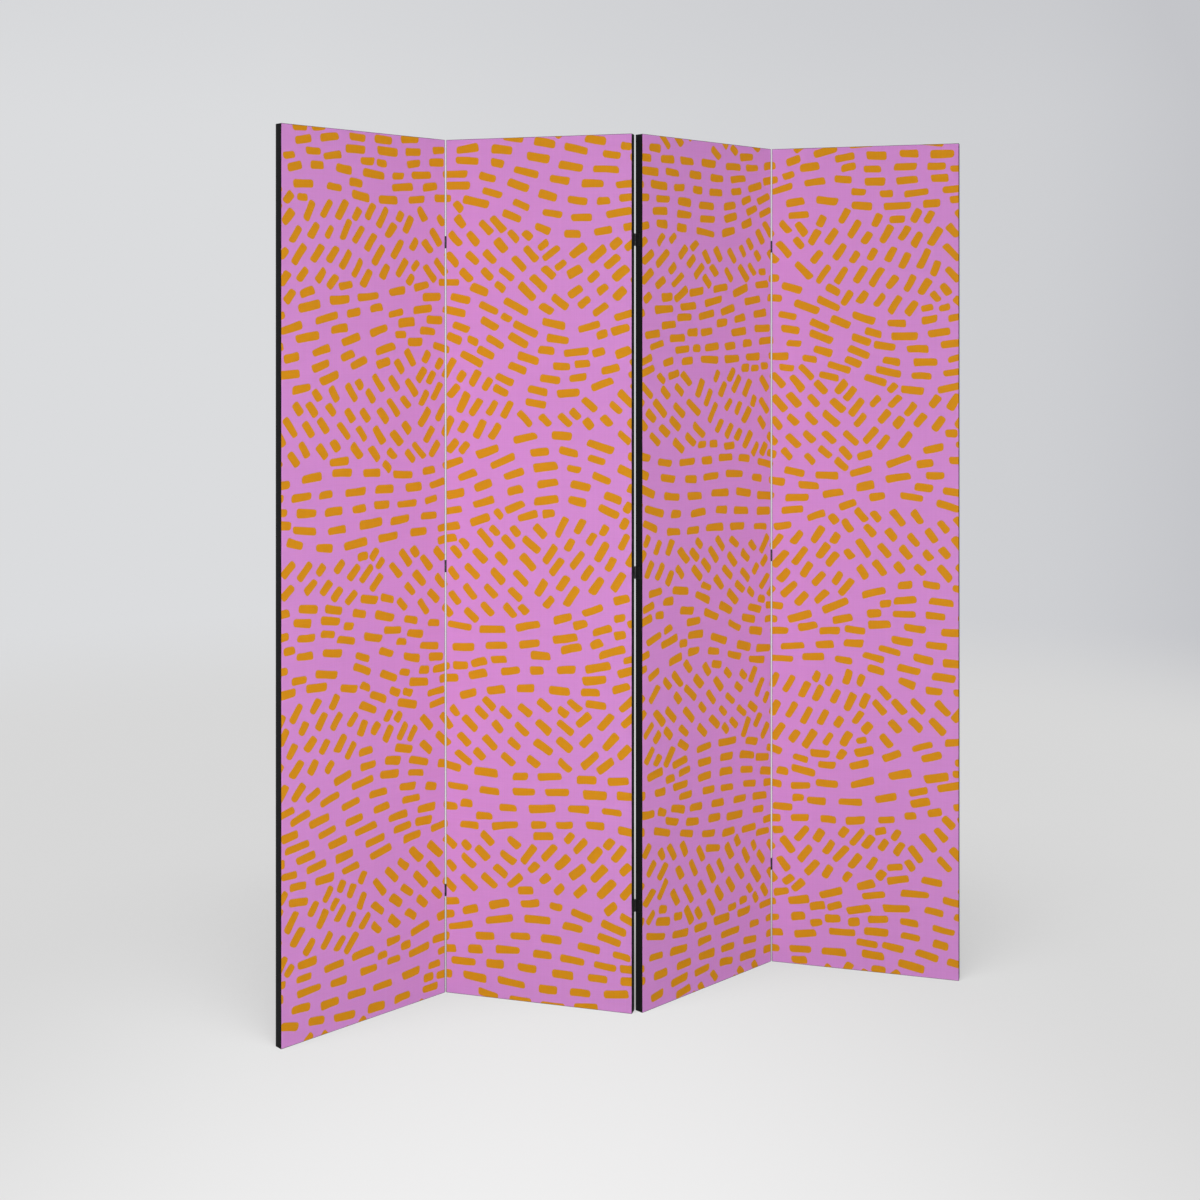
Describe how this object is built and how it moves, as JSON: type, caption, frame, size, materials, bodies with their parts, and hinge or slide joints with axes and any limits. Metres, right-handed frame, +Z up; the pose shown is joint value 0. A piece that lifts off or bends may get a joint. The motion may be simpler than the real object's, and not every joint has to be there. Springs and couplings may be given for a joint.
{
  "type": "folding screen",
  "caption": "Free-standing folding screen: hinged panels of printed canvas stretched over timber frames, edged in black tape, standing in a zigzag and folding flat.",
  "frame": {"origin": "on the floor, at the middle of the standing screen's plan", "axes": "+Z up; +X along the screen, from panel 1 to panel 4; -Y towards the front, the side that the picture shows"},
  "size_m": [1.4392, 0.2174, 1.784],
  "materials": {
    "printed_canvas": "matte printed weave",
    "edge_tape": "matte ribbed cloth",
    "frame_timber": "planed spruce",
    "dowel_beech": "turned beech",
    "staple_wire": "galvanised",
    "hinge_steel": "satin black",
    "pin_steel": "dark steel",
    "screw_steel": "satin black"
  },
  "bodies": {
    "panel_1": {"hinge_pins_1_2": "pin_steel", "panel_1_back_canvas": "printed_canvas", "panel_1_bottom_rail": "frame_timber", "panel_1_dowels": "dowel_beech", "panel_1_edge_tape": "edge_tape", "panel_1_front_canvas": "printed_canvas", "panel_1_left_stile": "frame_timber", "panel_1_lower_cross_bar": "frame_timber", "panel_1_right_hinge_leaves": "hinge_steel", "panel_1_right_hinge_screws": "screw_steel", "panel_1_right_stile": "frame_timber", "panel_1_staples": "staple_wire", "panel_1_top_rail": "frame_timber", "panel_1_upper_cross_bar": "frame_timber"},
    "panel_2": {"hinge_pins_2_3": "pin_steel", "panel_2_back_canvas": "printed_canvas", "panel_2_bottom_rail": "frame_timber", "panel_2_dowels": "dowel_beech", "panel_2_edge_tape": "edge_tape", "panel_2_front_canvas": "printed_canvas", "panel_2_left_hinge_leaves": "hinge_steel", "panel_2_left_hinge_screws": "screw_steel", "panel_2_left_stile": "frame_timber", "panel_2_lower_cross_bar": "frame_timber", "panel_2_right_hinge_leaves": "hinge_steel", "panel_2_right_hinge_screws": "screw_steel", "panel_2_right_stile": "frame_timber", "panel_2_staples": "staple_wire", "panel_2_top_rail": "frame_timber", "panel_2_upper_cross_bar": "frame_timber"},
    "panel_3": {"hinge_pins_3_4": "pin_steel", "panel_3_back_canvas": "printed_canvas", "panel_3_bottom_rail": "frame_timber", "panel_3_dowels": "dowel_beech", "panel_3_edge_tape": "edge_tape", "panel_3_front_canvas": "printed_canvas", "panel_3_left_hinge_leaves": "hinge_steel", "panel_3_left_hinge_screws": "screw_steel", "panel_3_left_stile": "frame_timber", "panel_3_lower_cross_bar": "frame_timber", "panel_3_right_hinge_leaves": "hinge_steel", "panel_3_right_hinge_screws": "screw_steel", "panel_3_right_stile": "frame_timber", "panel_3_staples": "staple_wire", "panel_3_top_rail": "frame_timber", "panel_3_upper_cross_bar": "frame_timber"},
    "panel_4": {"panel_4_back_canvas": "printed_canvas", "panel_4_bottom_rail": "frame_timber", "panel_4_dowels": "dowel_beech", "panel_4_edge_tape": "edge_tape", "panel_4_front_canvas": "printed_canvas", "panel_4_left_hinge_leaves": "hinge_steel", "panel_4_left_hinge_screws": "screw_steel", "panel_4_left_stile": "frame_timber", "panel_4_lower_cross_bar": "frame_timber", "panel_4_right_stile": "frame_timber", "panel_4_staples": "staple_wire", "panel_4_top_rail": "frame_timber", "panel_4_upper_cross_bar": "frame_timber"}
  },
  "joints": [
    {"name": "fold_1_2", "type": "hinge", "parent": "panel_2", "child": "panel_1", "pos_m": [-0.36054, 0.09276, 0.892], "axis": [0, 0, 1], "range_deg": [-60, 120]},
    {"name": "fold_2_3", "type": "hinge", "parent": "panel_2", "child": "panel_3", "pos_m": [0, -0.09276, 0.892], "axis": [0, 0, 1], "range_deg": [-60, 120]},
    {"name": "fold_3_4", "type": "hinge", "parent": "panel_3", "child": "panel_4", "pos_m": [0.36054, 0.09276, 0.892], "axis": [0, 0, -1], "range_deg": [-60, 120]}
  ]
}
